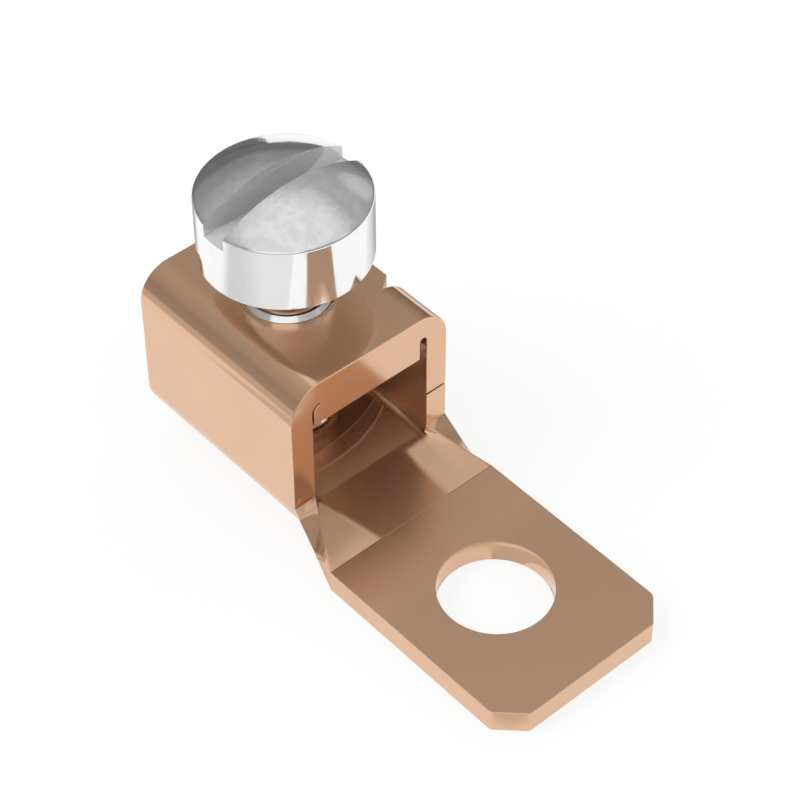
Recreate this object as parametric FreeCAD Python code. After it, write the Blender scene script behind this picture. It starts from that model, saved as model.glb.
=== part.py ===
import FreeCAD, Part
import math
import os

# Mechanical lug: one folded strip of copper with a tongue and a box barrel, and its clamping screw.
# The origin is the centre of the stud hole on the underside of the tongue. The tongue points along +X,
# the barrel lies behind it along -X, and +Z is up, the way the screw backs out. Sizes are millimetres.

# The sheet, which is one sixteenth of an inch thick, and the tightest bend that it takes.
SHEET = 1.6
BEND_INSIDE_RADIUS = 0.6

# The tongue, with its stud hole for a quarter inch stud.
TONGUE_WIDTH = 13.0
STUD_HOLE_DIAMETER = 7.0
HOLE_TO_TONGUE_END = 8.1
HOLE_TO_RAMP = 7.3
TONGUE_CORNER_CUT = 1.6
TONGUE_CORNER_RADIUS = 0.4

# The ramp, which lifts the floor of the barrel above the tongue.
RAMP_LENGTH = 3.7
FLOOR_RISE = 1.45

# The barrel: a box that is open at the front and the rear.
BARREL_WIDTH = 12.0
BARREL_LENGTH = 14.1
WIRE_SPACE_HEIGHT = 6.55

# The lock at the front right, where the outer layer of the top folds down to meet a low wall.
FLAP_LENGTH = 3.5
LOW_WALL_HEIGHT = 3.2
SEAM_GAP = 0.12
FLAP_SIDE_GAP = 0.5
OUTER_LAYER_SETBACK = 0.94
NOTCH_DEPTH = 1.0
NOTCH_LENGTH = 0.8

# The inner layer of the top, which is the right wall folded over.
INNER_LAYER_END_GAP = 0.1
SLOT_WIDTH = 0.5

# The screw hole, with the sheet drawn down round it into a collar that carries the thread.
SCREW_FROM_FRONT = 7.4
THREAD_CLEARANCE = 0.06
DISH_RADIUS = 7.3
DISH_DEPTH = 0.3
LIP_RADIUS = 0.35
COLLAR_WALL = 0.9
COLLAR_DROP = 0.9
COLLAR_SLOPE = 0.3

# The screw, in the place that it has with no wire in the barrel.
THREAD_DIAMETER = 6.2
NECK_DIAMETER = 5.5
HEAD_DIAMETER = 10.5
HEAD_SIDE_HEIGHT = 4.35
HEAD_DOME_RISE = 1.5
HEAD_ABOVE_BARREL = 3.0
NECK_LENGTH = 2.5
SLOT_CUT_WIDTH = 1.75
SLOT_CUT_DEPTH = 0.85
TIP_CHAMFER = 0.35
TIP_TO_FLOOR = 0.15

# Places that follow from the sizes above.
BEND_OUTSIDE_RADIUS = SHEET + BEND_INSIDE_RADIUS
FRONT_X = -HOLE_TO_RAMP - RAMP_LENGTH
REAR_X = FRONT_X - BARREL_LENGTH
SIDE_Y = BARREL_WIDTH / 2
WALL_INSIDE_Y = SIDE_Y - SHEET
BEND_Y = SIDE_Y - BEND_OUTSIDE_RADIUS
FLOOR_TOP_Z = FLOOR_RISE + SHEET
WALL_FOOT_Z = FLOOR_RISE + BEND_OUTSIDE_RADIUS
CEILING_Z = FLOOR_TOP_Z + WIRE_SPACE_HEIGHT
LAYER_Z = CEILING_Z + SHEET
TOP_Z = LAYER_Z + SHEET
OUTER_BEND_Z = TOP_Z - BEND_OUTSIDE_RADIUS
INNER_BEND_Z = LAYER_Z - BEND_OUTSIDE_RADIUS
LOW_WALL_Z = FLOOR_TOP_Z + LOW_WALL_HEIGHT
FLAP_X = FRONT_X - FLAP_LENGTH
RIGHT_WALL_X = FLAP_X - FLAP_SIDE_GAP
OUTER_LAYER_Y = SIDE_Y - OUTER_LAYER_SETBACK
SLOT_Y = WALL_INSIDE_Y - SLOT_WIDTH
SCREW_X = FRONT_X - SCREW_FROM_FRONT
THREAD_RADIUS = THREAD_DIAMETER / 2
HOLE_RADIUS = THREAD_RADIUS + THREAD_CLEARANCE
COLLAR_RADIUS = HOLE_RADIUS + COLLAR_WALL
COLLAR_Z = CEILING_Z - COLLAR_DROP
NECK_RADIUS = NECK_DIAMETER / 2
HEAD_RADIUS = HEAD_DIAMETER / 2
HEAD_BOTTOM_Z = TOP_Z + HEAD_ABOVE_BARREL
HEAD_RIM_Z = HEAD_BOTTOM_Z + HEAD_SIDE_HEIGHT
TIP_Z = FLOOR_TOP_Z + TIP_TO_FLOOR


def point(x, y, z):
    return FreeCAD.Vector(x, y, z)


def line(start, end):
    return Part.LineSegment(start, end).toShape()


def arc(start, end, centre):
    """The short arc from start to end about centre."""
    middle = (start + end) * 0.5 - centre
    middle.normalize()
    return Part.Arc(start, centre + middle * (start - centre).Length, end).toShape()


def section_path(x, steps):
    """A closed wire across the barrel at x.

    Each step is (y, z) for a straight line to that point, or (y, z, centre y, centre z) for an arc
    about that centre to that point.
    """
    edges = []
    here = point(x, *steps[-1][:2])
    for step in steps:
        there = point(x, *step[:2])
        if len(step) == 2:
            edges.append(line(here, there))
        else:
            edges.append(arc(here, there, point(x, *step[2:])))
        here = there
    return Part.Wire(edges)


def prism(steps, rear_x, front_x):
    """The solid of one cross-section from rear_x to front_x."""
    return Part.Face(section_path(rear_x, steps)).extrude(point(front_x - rear_x, 0, 0))


def plate(corners, low_z):
    """A flat piece of the sheet, whose outline has corners (x, y, radius of the rounding)."""
    places = [point(x, y, low_z) for x, y, radius in corners]
    starts = []
    ends = []
    centres = []
    for i, place in enumerate(places):
        radius = corners[i][2]
        inward = places[i - 1] - place
        onward = places[(i + 1) % len(places)] - place
        half_angle = inward.getAngle(onward) / 2
        inward.normalize()
        onward.normalize()
        run = radius / math.tan(half_angle)
        towards = inward + onward
        towards.normalize()
        starts.append(place + inward * run)
        ends.append(place + onward * run)
        centres.append(place + towards * (radius / math.sin(half_angle)))
    edges = []
    for i, start in enumerate(starts):
        edges.append(line(ends[i - 1], start))
        if corners[i][2] > 0:
            edges.append(arc(start, ends[i], centres[i]))
    return Part.Face(Part.Wire(edges)).extrude(point(0, 0, SHEET))


def turned(profile, x):
    """The solid that a closed profile of (radius, 0, height) points sweeps about the upright axis at x."""
    solid = Part.Face(Part.Wire(profile)).revolve(point(0, 0, 0), point(0, 0, 1), 360)
    solid.translate(point(x, 0, 0))
    return solid


def outline(places):
    """The straight edges that join places (radius, height) in turn."""
    points = [point(radius, 0, height) for radius, height in places]
    return [line(start, end) for start, end in zip(points, points[1:])]


def tongue():
    """The flat tongue with its corner cuts and stud hole."""
    half = TONGUE_WIDTH / 2
    cut_y = half - TONGUE_CORNER_CUT
    cut_x = HOLE_TO_TONGUE_END - TONGUE_CORNER_CUT
    blank = plate([
        (-HOLE_TO_RAMP, -half, 0),
        (cut_x, -half, TONGUE_CORNER_RADIUS),
        (HOLE_TO_TONGUE_END, -cut_y, TONGUE_CORNER_RADIUS),
        (HOLE_TO_TONGUE_END, cut_y, TONGUE_CORNER_RADIUS),
        (cut_x, half, TONGUE_CORNER_RADIUS),
        (-HOLE_TO_RAMP, half, 0),
    ], 0)
    return blank.cut(Part.makeCylinder(STUD_HOLE_DIAMETER / 2, SHEET))


def trough_steps():
    """The floor with a quarter bend up at each side."""
    return [
        (BEND_Y, FLOOR_TOP_Z),
        (WALL_INSIDE_Y, WALL_FOOT_Z, BEND_Y, WALL_FOOT_Z),
        (SIDE_Y, WALL_FOOT_Z),
        (BEND_Y, FLOOR_RISE, BEND_Y, WALL_FOOT_Z),
        (-BEND_Y, FLOOR_RISE),
        (-SIDE_Y, WALL_FOOT_Z, -BEND_Y, WALL_FOOT_Z),
        (-WALL_INSIDE_Y, WALL_FOOT_Z),
        (-BEND_Y, FLOOR_TOP_Z, -BEND_Y, WALL_FOOT_Z),
    ]


def root_steps():
    """The root of the tongue, in as many runs as the trough, each opened out to lie flat."""
    half = TONGUE_WIDTH / 2
    bend = half - BEND_OUTSIDE_RADIUS
    return [
        (bend, SHEET), (half, SHEET), (half, 0), (bend, 0),
        (-bend, 0), (-half, 0), (-half, SHEET), (-bend, SHEET),
    ]


def ramp():
    """The joggle: the trough of the floor opens out into the root of the tongue."""
    trough = section_path(FRONT_X, trough_steps())
    root = section_path(-HOLE_TO_RAMP, root_steps())
    # Each wire starts at its first step, so run meets run.
    return Part.makeLoft([trough, root], True, True)


def left_half_steps(end_y):
    """The outside of the left wall and the outer layer, from the wall's foot up and across to end_y."""
    return [
        (-SIDE_Y, OUTER_BEND_Z),
        (-BEND_Y, TOP_Z, -BEND_Y, OUTER_BEND_Z),
        (end_y, TOP_Z),
    ]


def barrel_rear():
    """Behind the lock: the right wall folds over as the inner layer and the outer layer lies on it."""
    steps = left_half_steps(OUTER_LAYER_Y) + [
        (OUTER_LAYER_Y, LAYER_Z),
        (BEND_Y, LAYER_Z),
        (SIDE_Y, INNER_BEND_Z, BEND_Y, INNER_BEND_Z),
        (SIDE_Y, WALL_FOOT_Z),
        (WALL_INSIDE_Y, WALL_FOOT_Z),
        (WALL_INSIDE_Y, INNER_BEND_Z),
        (BEND_Y, CEILING_Z, BEND_Y, INNER_BEND_Z),
        (-WALL_INSIDE_Y, CEILING_Z),
        (-WALL_INSIDE_Y, WALL_FOOT_Z),
        (-SIDE_Y, WALL_FOOT_Z),
    ]
    return prism(steps, REAR_X, RIGHT_WALL_X)


def barrel_middle():
    """The gap behind the flap, where neither layer reaches the right wall."""
    steps = left_half_steps(OUTER_LAYER_Y) + [
        (OUTER_LAYER_Y, LAYER_Z),
        (SLOT_Y, LAYER_Z),
        (SLOT_Y, CEILING_Z),
        (-WALL_INSIDE_Y, CEILING_Z),
        (-WALL_INSIDE_Y, WALL_FOOT_Z),
        (-SIDE_Y, WALL_FOOT_Z),
    ]
    return prism(steps, RIGHT_WALL_X, FLAP_X)


def barrel_front():
    """The lock: the outer layer folds down over the right side as a flap and stops at the seam."""
    seam_z = LOW_WALL_Z + SEAM_GAP
    steps = left_half_steps(BEND_Y) + [
        (SIDE_Y, OUTER_BEND_Z, BEND_Y, OUTER_BEND_Z),
        (SIDE_Y, seam_z),
        (WALL_INSIDE_Y, seam_z),
        (WALL_INSIDE_Y, CEILING_Z),
        (-WALL_INSIDE_Y, CEILING_Z),
        (-WALL_INSIDE_Y, WALL_FOOT_Z),
        (-SIDE_Y, WALL_FOOT_Z),
    ]
    return prism(steps, FLAP_X, FRONT_X)


def low_wall():
    """The right wall under the flap, up to the seam."""
    low = point(RIGHT_WALL_X, WALL_INSIDE_Y, WALL_FOOT_Z)
    return Part.makeBox(FRONT_X - RIGHT_WALL_X, SHEET, LOW_WALL_Z - WALL_FOOT_Z, low)


def end_gap_cutter():
    """The hairline between the end of the inner layer and the left wall, up round the bend."""
    gap = INNER_LAYER_END_GAP
    steps = [
        (-WALL_INSIDE_Y, OUTER_BEND_Z),
        (-BEND_Y, LAYER_Z, -BEND_Y, OUTER_BEND_Z),
        (-BEND_Y, LAYER_Z - gap),
        (-WALL_INSIDE_Y + gap, OUTER_BEND_Z, -BEND_Y, OUTER_BEND_Z),
        (-WALL_INSIDE_Y + gap, CEILING_Z),
        (-WALL_INSIDE_Y, CEILING_Z),
    ]
    return prism(steps, REAR_X, FRONT_X)


def slot_cutter():
    """The slot between the inner layer and the flap, with a round end."""
    radius = SLOT_WIDTH / 2
    centre_y = SLOT_Y + radius
    centre_z = LAYER_Z - radius
    steps = [
        (SLOT_Y, centre_z),
        (centre_y, LAYER_Z, centre_y, centre_z),
        (WALL_INSIDE_Y, centre_z, centre_y, centre_z),
        (WALL_INSIDE_Y, CEILING_Z),
        (SLOT_Y, CEILING_Z),
    ]
    return prism(steps, FLAP_X, FRONT_X)


def notch_cutter():
    """The notch in the outer layer that lets the flap bend away from the rest of its edge."""
    return plate([
        (FLAP_X, OUTER_LAYER_Y - NOTCH_DEPTH, 0),
        (FLAP_X - NOTCH_LENGTH, OUTER_LAYER_Y, 0),
        (FLAP_X, OUTER_LAYER_Y, 0),
    ], LAYER_Z)


def screw_hole_cutter():
    """What the drawn hole takes away from above: a shallow dish that rolls over a round lip into the bore."""
    reach = DISH_RADIUS - HOLE_RADIUS
    sweep = (reach ** 2 + DISH_DEPTH ** 2) / (2 * DISH_DEPTH)
    dish_centre = point(DISH_RADIUS, 0, TOP_Z - sweep)
    lip_across = reach - LIP_RADIUS
    lip_up = math.sqrt((sweep - LIP_RADIUS) ** 2 - lip_across ** 2)
    lip_centre = dish_centre + point(-lip_across, 0, lip_up)
    away = lip_centre - dish_centre
    away.normalize()
    dish_rim = point(DISH_RADIUS, 0, TOP_Z)
    dish_end = dish_centre + away * sweep
    bore_top = point(HOLE_RADIUS, 0, lip_centre.z)
    rolls = [arc(dish_rim, dish_end, dish_centre), arc(dish_end, bore_top, lip_centre)]
    return turned(rolls + outline([
        (HOLE_RADIUS, lip_centre.z),
        (HOLE_RADIUS, COLLAR_Z),
        (0, COLLAR_Z),
        (0, TOP_Z + SHEET),
        (DISH_RADIUS, TOP_Z + SHEET),
        (DISH_RADIUS, TOP_Z),
    ]), SCREW_X)


def collar():
    """The sheet drawn down round the screw, which carries the thread under the ceiling."""
    root_radius = COLLAR_RADIUS + COLLAR_SLOPE
    slope_z = CEILING_Z - COLLAR_SLOPE
    return turned(outline([
        (0, LAYER_Z),
        (root_radius, LAYER_Z),
        (root_radius, CEILING_Z),
        (COLLAR_RADIUS, slope_z),
        (COLLAR_RADIUS, COLLAR_Z),
        (0, COLLAR_Z),
        (0, LAYER_Z),
    ]), SCREW_X)


def lug_body():
    """The whole folded strip."""
    trough = prism(trough_steps(), REAR_X, FRONT_X)
    folds = trough.multiFuse([barrel_rear(), barrel_middle(), barrel_front(), low_wall(), collar()])
    barrel = folds.cut([end_gap_cutter(), slot_cutter(), notch_cutter(), screw_hole_cutter()])
    return barrel.multiFuse([ramp(), tongue()]).removeSplitter()


def clamp_screw():
    """The turned screw: chamfered tip, threaded shank, neck and domed cylinder head with its slot."""
    neck_z = HEAD_BOTTOM_Z - NECK_LENGTH
    neck_step = THREAD_RADIUS - NECK_RADIUS
    crown_z = HEAD_RIM_Z + HEAD_DOME_RISE
    dome_radius = (HEAD_RADIUS ** 2 + HEAD_DOME_RISE ** 2) / (2 * HEAD_DOME_RISE)
    dome = arc(point(HEAD_RADIUS, 0, HEAD_RIM_Z), point(0, 0, crown_z), point(0, 0, crown_z - dome_radius))
    screw = turned([dome] + outline([
        (0, crown_z),
        (0, TIP_Z),
        (THREAD_RADIUS - TIP_CHAMFER, TIP_Z),
        (THREAD_RADIUS, TIP_Z + TIP_CHAMFER),
        (THREAD_RADIUS, neck_z - neck_step),
        (NECK_RADIUS, neck_z),
        (NECK_RADIUS, HEAD_BOTTOM_Z),
        (HEAD_RADIUS, HEAD_BOTTOM_Z),
        (HEAD_RADIUS, HEAD_RIM_Z),
    ]), SCREW_X)
    corner = point(SCREW_X - SLOT_CUT_WIDTH / 2, -HEAD_RADIUS, HEAD_RIM_Z - SLOT_CUT_DEPTH)
    slot = Part.makeBox(SLOT_CUT_WIDTH, HEAD_DIAMETER, SLOT_CUT_DEPTH + HEAD_DOME_RISE, corner)
    return screw.cut(slot)


def main():
    os.makedirs("parts", exist_ok=True)
    pieces = {"lug_body": lug_body(), "clamp_screw": clamp_screw()}
    for name, shape in pieces.items():
        shape.exportStep("parts/" + name + ".step")
        box = shape.BoundBox
        print(name, "solids", len(shape.Solids), "valid", shape.isValid(), "volume", round(shape.Volume, 2))
        print("  x", round(box.XMin, 2), round(box.XMax, 2), "y", round(box.YMin, 2), round(box.YMax, 2),
              "z", round(box.ZMin, 2), round(box.ZMax, 2))


main()
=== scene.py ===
# %% [markdown]
# # A box lug and its clamping screw
# The real object is one strip of bright copper, folded into a flat tongue and a box barrel, and one plated
# steel screw. The fixed frame is loaded first: it says where each piece is and which body carries it.
# Everything here is in that frame, so nothing has to be fitted by eye.

# %% Load the frame
import bmesh
import bpy
import math
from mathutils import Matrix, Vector


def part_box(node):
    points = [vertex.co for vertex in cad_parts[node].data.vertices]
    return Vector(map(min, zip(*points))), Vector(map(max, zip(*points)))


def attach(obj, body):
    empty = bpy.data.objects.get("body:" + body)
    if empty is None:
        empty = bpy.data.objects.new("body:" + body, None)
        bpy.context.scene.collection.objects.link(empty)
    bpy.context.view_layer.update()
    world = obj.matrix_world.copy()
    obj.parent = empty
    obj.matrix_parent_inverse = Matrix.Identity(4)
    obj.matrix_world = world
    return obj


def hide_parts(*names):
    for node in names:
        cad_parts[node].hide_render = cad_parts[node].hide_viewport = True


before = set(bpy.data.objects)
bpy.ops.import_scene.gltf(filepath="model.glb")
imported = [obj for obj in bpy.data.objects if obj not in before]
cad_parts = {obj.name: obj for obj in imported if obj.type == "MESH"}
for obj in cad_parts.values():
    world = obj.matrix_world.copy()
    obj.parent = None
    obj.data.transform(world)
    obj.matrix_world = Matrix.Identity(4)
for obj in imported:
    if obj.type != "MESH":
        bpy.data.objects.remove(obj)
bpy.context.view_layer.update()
MM = 0.001  # one millimetre, in metres

# %% [markdown]
# ## The camera
# The photograph was taken from in front, to the left and above, with a long lens that flattens the shape.
# A camera is easiest to place the way a photographer does it: a point to look at, two angles, a distance
# and a lens. That keeps every number readable.

# %% Place the camera
VIEW_AZIMUTH = 48.457  # degrees, as the next two
VIEW_ELEVATION = 45.513
VIEW_ROLL = -0.111
VIEW_DISTANCE = 149.79  # mm from the point that it looks at
VIEW_TARGET = Vector((-9.55, 1.01, 9.27))
LENS = 115.28
SENSOR = 36.0


def add_camera():
    """A camera that looks at VIEW_TARGET; azimuth 0 looks along +Y."""
    azimuth = math.radians(VIEW_AZIMUTH)
    elevation = math.radians(VIEW_ELEVATION)
    back = Vector((math.sin(azimuth) * math.cos(elevation),
                   -math.cos(azimuth) * math.cos(elevation),
                   math.sin(elevation)))
    data = bpy.data.cameras.new("camera")
    data.lens = LENS
    data.sensor_width = SENSOR
    data.clip_start = MM
    camera = bpy.data.objects.new("camera", data)
    camera.location = (VIEW_TARGET + back * VIEW_DISTANCE) * MM
    camera.rotation_mode = "QUATERNION"
    camera.rotation_quaternion = back.to_track_quat("Z", "Y")
    camera.rotation_mode = "XYZ"
    camera.rotation_euler.rotate_axis("Z", math.radians(VIEW_ROLL))
    bpy.context.scene.collection.objects.link(camera)
    bpy.context.scene.camera = camera
    return camera


camera = add_camera()
print("camera at mm:", [round(v / MM, 1) for v in camera.location])

# %% [markdown]
# ## Tools of the sheet-metal bench
# A folded part is drawn as a press tool sees it: a cross-section whose corners are rounded by the bends,
# pushed along the strip. A polygon is made from a few vertices, its corner vertices are bevelled into arcs,
# and its face is extruded. Boolean modifiers then join the stretches and punch the holes, as the press does.

# %% Sections, plates and punches
BEND_SEGMENTS = 16
WELD = 0.0002  # mm: points that lie closer than this are merged


def new_piece(name, bm):
    """Turns a bmesh in millimetres into an object at the origin, in metres."""
    bmesh.ops.scale(bm, vec=(MM, MM, MM), verts=bm.verts)
    mesh = bpy.data.meshes.new(name)
    bm.to_mesh(mesh)
    bm.free()
    piece = bpy.data.objects.new(name, mesh)
    bpy.context.scene.collection.objects.link(piece)
    return piece


def rounded_face(corners, place):
    """A bmesh with one face; corners are (a, b, radius) and place(a, b) gives the point in space."""
    bm = bmesh.new()
    verts = [bm.verts.new(place(a, b)) for a, b, radius in corners]
    bm.faces.new(verts)
    for radius in sorted({radius for a, b, radius in corners if radius > 0}):
        chosen = [vert for vert, corner in zip(verts, corners) if corner[2] == radius]
        bmesh.ops.bevel(bm, geom=chosen, affect="VERTICES", offset=radius, offset_type="OFFSET",
                        segments=BEND_SEGMENTS, profile=0.5, material=-1)
    bmesh.ops.remove_doubles(bm, verts=bm.verts, dist=WELD)
    return bm


def push(bm, way):
    """Extrudes the only face of bm along way into a closed bar."""
    face = bm.faces[:]
    moved = bmesh.ops.extrude_face_region(bm, geom=face, use_keep_orig=True)["geom"]
    bmesh.ops.translate(bm, vec=way, verts=[part for part in moved if isinstance(part, bmesh.types.BMVert)])
    bmesh.ops.recalc_face_normals(bm, faces=bm.faces)


def bar(name, corners, rear_x, front_x):
    """A stretch of the barrel: corners are (y, z, bend radius)."""
    bm = rounded_face(corners, lambda y, z: (rear_x, y, z))
    push(bm, (front_x - rear_x, 0, 0))
    return new_piece(name, bm)


def plate(name, corners, low_z, thickness):
    """A flat blank: corners are (x, y, radius)."""
    bm = rounded_face(corners, lambda x, y: (x, y, low_z))
    push(bm, (0, 0, thickness))
    return new_piece(name, bm)


def turned(name, outline, x, steps):
    """A turned piece: outline is a list of (radius, height) from the axis back to the axis."""
    bm = bmesh.new()
    verts = [bm.verts.new((radius, 0, height)) for radius, height in outline]
    edges = [bm.edges.new(pair) for pair in zip(verts, verts[1:])]
    bmesh.ops.spin(bm, geom=verts + edges, cent=(0, 0, 0), axis=(0, 0, 1), dvec=(0, 0, 0),
                   angle=math.tau, steps=steps, use_merge=True, use_duplicate=False)
    bmesh.ops.remove_doubles(bm, verts=bm.verts, dist=WELD)
    bmesh.ops.recalc_face_normals(bm, faces=bm.faces)
    bmesh.ops.translate(bm, vec=(x, 0, 0), verts=bm.verts)
    return new_piece(name, bm)


def arc(centre, radius, start, end, steps):
    """Points on an arc in a turned outline, from angle start to angle end in degrees."""
    angles = [math.radians(start + (end - start) * i / steps) for i in range(steps + 1)]
    return [(centre[0] + radius * math.cos(a), centre[1] + radius * math.sin(a)) for a in angles]


def combine(piece, others, operation):
    """Joins others to piece, cuts them out of it or keeps what they share, then clears them away."""
    for other in others:
        step = piece.modifiers.new("combine", "BOOLEAN")
        step.solver = "MANIFOLD"
        step.operation = operation
        step.object = other
    shape = bpy.data.meshes.new_from_object(piece.evaluated_get(bpy.context.evaluated_depsgraph_get()))
    piece.modifiers.clear()
    piece.data = shape
    for other in others:
        bpy.data.objects.remove(other)
    return piece


print("a bend of 90 degrees has", BEND_SEGMENTS, "steps")

# %% [markdown]
# ## The copper strip
# The strip is 1.6 mm sheet. Its floor and walls are one fold, the right wall folds over as an inner layer,
# and the left wall folds over that as an outer layer, whose front end comes down the right side as a flap.
# Each stretch between two changes of section is one bar, so the bends stay true quarter circles.

# %% Driving sizes of the strip, in millimetres
SHEET = 1.6
INSIDE_BEND = 0.6
OUTSIDE_BEND = SHEET + INSIDE_BEND
# The tongue
HALF_TONGUE = 6.5
TONGUE_END = 8.1
TONGUE_ROOT = -7.3
CORNER_CUT = 1.6
CORNER_ROUND = 0.17
STUD_RADIUS = 3.5
# The barrel, across
SIDE = 6.0
INSIDE = SIDE - SHEET
BEND_START = SIDE - OUTSIDE_BEND
OUTER_LAYER_EDGE = SIDE - 0.94
SLOT_WIDTH = 0.5
SLOT_SIDE = INSIDE - SLOT_WIDTH
# The barrel, along
FRONT = -11.0
REAR = -25.1
FLAP_REAR = FRONT - 3.5
WALL_FRONT = FLAP_REAR - 0.5
# The barrel, upwards: LAYER is where the two layers of the top meet
FLOOR_RISE = 1.45
FLOOR = FLOOR_RISE + SHEET
WALL_FOOT = FLOOR_RISE + OUTSIDE_BEND
CEILING = FLOOR + 6.55
LAYER = CEILING + SHEET
TOP = LAYER + SHEET
LOW_WALL_TOP = FLOOR + 3.2
# Gaps, the notch's depth and length, and the pieces that the ramp is divided into
SEAM_GAP = 0.12
END_GAP = 0.1
NOTCH = (1.0, 0.8)
RAMP_STEPS = 8


def flatten(point):
    """Where a point of the trough's section lies once the trough has opened out flat."""
    y, z = abs(point.y), point.z
    root_bend = HALF_TONGUE - OUTSIDE_BEND
    if y <= BEND_START:
        flat = (y / BEND_START * root_bend, z - FLOOR_RISE)
    else:
        turn = math.atan2(y - BEND_START, WALL_FOOT - z) / (math.pi / 2)
        radius = math.hypot(y - BEND_START, WALL_FOOT - z)
        flat = (root_bend + OUTSIDE_BEND * turn, OUTSIDE_BEND - radius)
    return Vector((TONGUE_ROOT, math.copysign(flat[0], point.y), flat[1]))


TROUGH = [
    (-SIDE, WALL_FOOT, 0), (-SIDE, FLOOR_RISE, OUTSIDE_BEND),
    (SIDE, FLOOR_RISE, OUTSIDE_BEND), (SIDE, WALL_FOOT, 0),
    (INSIDE, WALL_FOOT, 0), (INSIDE, FLOOR, INSIDE_BEND),
    (-INSIDE, FLOOR, INSIDE_BEND), (-INSIDE, WALL_FOOT, 0),
]


def ramp():
    """The joggle: the trough's section, pushed forward and opened out flat at the tongue's root."""
    bm = rounded_face(TROUGH, lambda y, z: (FRONT, y, z))
    moved = bmesh.ops.extrude_face_region(bm, geom=bm.faces[:], use_keep_orig=True)["geom"]
    for part in moved:
        if isinstance(part, bmesh.types.BMVert):
            part.co = flatten(part.co)
    bmesh.ops.remove_doubles(bm, verts=bm.verts, dist=WELD)
    along = [edge for edge in bm.edges if abs(edge.verts[0].co.x - edge.verts[1].co.x) > 1]
    bmesh.ops.subdivide_edges(bm, edges=along, cuts=RAMP_STEPS - 1, use_grid_fill=True)
    bmesh.ops.recalc_face_normals(bm, faces=bm.faces)
    return new_piece("ramp", bm)


# The slit where the inner layer ends against the left wall, from the ceiling up round the bend.
END_SLIT = [
    (-INSIDE + END_GAP, CEILING, 0), (-INSIDE + END_GAP, LAYER - END_GAP, INSIDE_BEND - END_GAP),
    (-BEND_START, LAYER - END_GAP, 0), (-BEND_START, LAYER, 0), (-INSIDE, LAYER, INSIDE_BEND),
]
LEFT_WALL = [(-INSIDE, WALL_FOOT, 0), (-SIDE, WALL_FOOT, 0), (-SIDE, TOP, OUTSIDE_BEND)]
OUTER_EDGE = [(OUTER_LAYER_EDGE, TOP, 0), (OUTER_LAYER_EDGE, LAYER, 0)]
REAR_SECTION = LEFT_WALL + OUTER_EDGE + [
    (BEND_START, LAYER, 0), (SIDE, LAYER, OUTSIDE_BEND), (SIDE, WALL_FOOT, 0), (INSIDE, WALL_FOOT, 0),
    (INSIDE, CEILING, INSIDE_BEND)] + END_SLIT
RELIEF_SECTION = LEFT_WALL + OUTER_EDGE + [(SLOT_SIDE, LAYER, 0), (SLOT_SIDE, CEILING, 0)] + END_SLIT
FLAP_SECTION = LEFT_WALL + [
    (SIDE, TOP, OUTSIDE_BEND), (SIDE, LOW_WALL_TOP + SEAM_GAP, 0), (INSIDE, LOW_WALL_TOP + SEAM_GAP, 0),
    (INSIDE, LAYER, SLOT_WIDTH / 2), (SLOT_SIDE, LAYER, SLOT_WIDTH / 2), (SLOT_SIDE, CEILING, 0)] + END_SLIT
LOW_WALL = [(INSIDE, WALL_FOOT, 0), (SIDE, WALL_FOOT, 0), (SIDE, LOW_WALL_TOP, 0), (INSIDE, LOW_WALL_TOP, 0)]
TONGUE = [
    (TONGUE_ROOT, -HALF_TONGUE, 0),
    (TONGUE_END - CORNER_CUT, -HALF_TONGUE, CORNER_ROUND),
    (TONGUE_END, -HALF_TONGUE + CORNER_CUT, CORNER_ROUND),
    (TONGUE_END, HALF_TONGUE - CORNER_CUT, CORNER_ROUND),
    (TONGUE_END - CORNER_CUT, HALF_TONGUE, CORNER_ROUND),
    (TONGUE_ROOT, HALF_TONGUE, 0),
]


def fold_strip():
    """All stretches of the folded strip, joined to one closed piece."""
    strip = bar("copper_lug", TROUGH, REAR, FRONT)
    stretches = [
        bar("rear", REAR_SECTION, REAR, WALL_FRONT),
        bar("relief", RELIEF_SECTION, WALL_FRONT, FLAP_REAR),
        bar("flap", FLAP_SECTION, FLAP_REAR, FRONT),
        bar("low_wall", LOW_WALL, WALL_FRONT, FRONT),
        ramp(),
        plate("tongue", TONGUE, 0, SHEET),
    ]
    return combine(strip, stretches, "UNION")


strip = fold_strip()
print("strip vertices", len(strip.data.vertices), "faces", len(strip.data.polygons))

# %% [markdown]
# ## Holes, notch and drawn collar
# The screw hole isn't simply drilled. The punch draws the sheet down, so the top sinks into a shallow dish,
# rolls over a round lip and ends in a collar under the ceiling, which gives the thread more length.
# A revolved punch makes dish, lip and bore in one cut. The last blow of the press also shuts the seam
# between the low wall and the flap on the inside, so the seam is closed there with a thin bar.

# %% Shut the seam, then punch the screw hole, the stud hole and the notch
screw_low, screw_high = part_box("clamp_screw")
SCREW_X = (screw_low.x + screw_high.x) / 2 / MM
BORE = 2.82
LIP = 0.45
DISH_RADIUS = 4.15
DISH_DEPTH = 0.1
COLLAR_RADIUS = 4.06
COLLAR_SLOPE = 0.3
COLLAR_END = CEILING - 0.9
SEAM_LIP = 0.12  # how deep the seam is closed
SEAM_OVERLAP = 0.2
ROUND_STEPS = 128
LIP_STEPS = 8
DISH_STEPS = 20


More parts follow.
